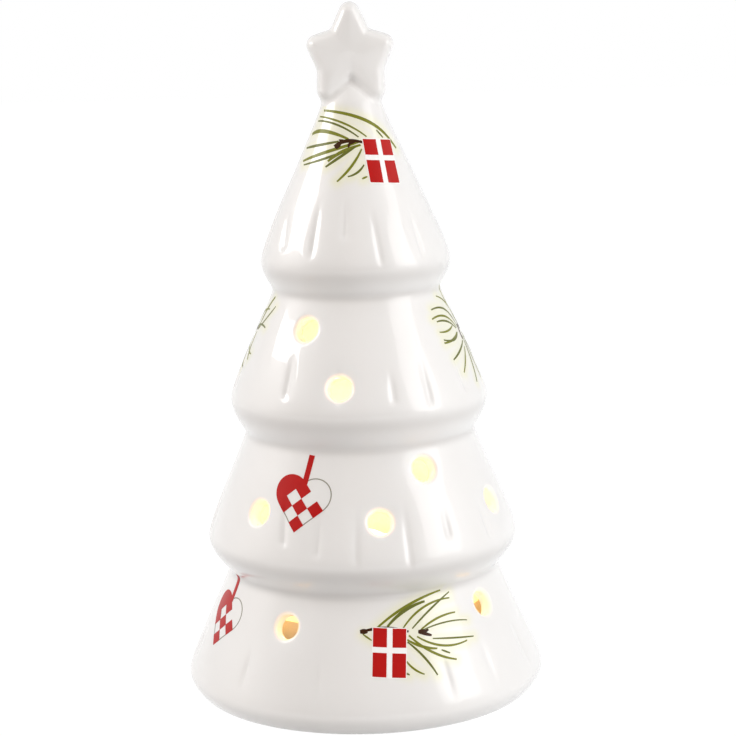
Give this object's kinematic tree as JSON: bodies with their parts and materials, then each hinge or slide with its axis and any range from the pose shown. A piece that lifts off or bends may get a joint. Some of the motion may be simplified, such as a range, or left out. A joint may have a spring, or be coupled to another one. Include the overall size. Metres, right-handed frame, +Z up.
{
  "type": "christmas tree figurine",
  "caption": "Hollow tiered tree figurine in glossy white ceramic with a star on its tip and round light holes, lit from inside by a battery light unit in its base.",
  "frame": {"origin": "centre of the foot ring, on the surface the figurine stands on", "axes": "+Z up through the star; the front of the star and the pictures face -Y; +X to the right seen from the front"},
  "size_m": [0.089, 0.089, 0.1701],
  "materials": {
    "white_glaze": "high-gloss white glaze over slip-cast earthenware",
    "black_plastic": "fine spark-eroded ABS",
    "white_plastic": "satin white ABS",
    "clear_silicone": "milky translucent silicone",
    "frosted_diffuser": "frosted polypropylene, lit from inside",
    "circuit_board": "green solder mask",
    "led_resin": "clear epoxy, lit",
    "resistor_lacquer": "blue lacquer",
    "cell_jacket": "printed metal jacket, left without words",
    "nickel": "nickel-plated contact spring steel",
    "zinc_steel": "zinc-plated steel",
    "red_lead": "PVC lead insulation",
    "black_lead": "PVC lead insulation",
    "blue_lead": "PVC lead insulation"
  },
  "bodies": {
    "tree": {"tree_shell": "white_glaze", "star_topper": "white_glaze"},
    "light_unit": {"unit_housing": "black_plastic", "unit_cover": "white_plastic", "seal_ring": "clear_silicone", "light_dome": "frosted_diffuser", "circuit_board": "circuit_board", "resistor": "resistor_lacquer", "led_1": "led_resin", "led_2": "led_resin", "led_3": "led_resin", "battery_1": "cell_jacket", "battery_2": "cell_jacket", "bridge_plate": "nickel", "bridge_spring": "nickel", "positive_plate": "nickel", "negative_plate": "nickel", "negative_spring": "nickel", "red_wire": "red_lead", "black_wire": "black_lead", "switch_wire": "blue_lead", "switch_body": "black_plastic", "hinge_pin": "zinc_steel", "screw_1": "zinc_steel", "screw_2": "zinc_steel", "screw_3": "zinc_steel", "screw_4": "zinc_steel"},
    "battery_door": {"battery_door": "black_plastic"},
    "switch_knob": {"switch_knob": "white_plastic"}
  },
  "joints": [
    {"name": "tree_lift_off", "type": "slide", "parent": "light_unit", "child": "tree", "axis": [0, 0, 1], "range_m": [0, 0.045]},
    {"name": "battery_door_hinge", "type": "hinge", "parent": "light_unit", "child": "battery_door", "pos_m": [0, 0.01315, 0.0025], "axis": [1, 0, 0], "range_deg": [0, 90]},
    {"name": "switch_slide", "type": "slide", "parent": "light_unit", "child": "switch_knob", "axis": [-1, 0, 0], "range_m": [0, 0.0025]}
  ]
}
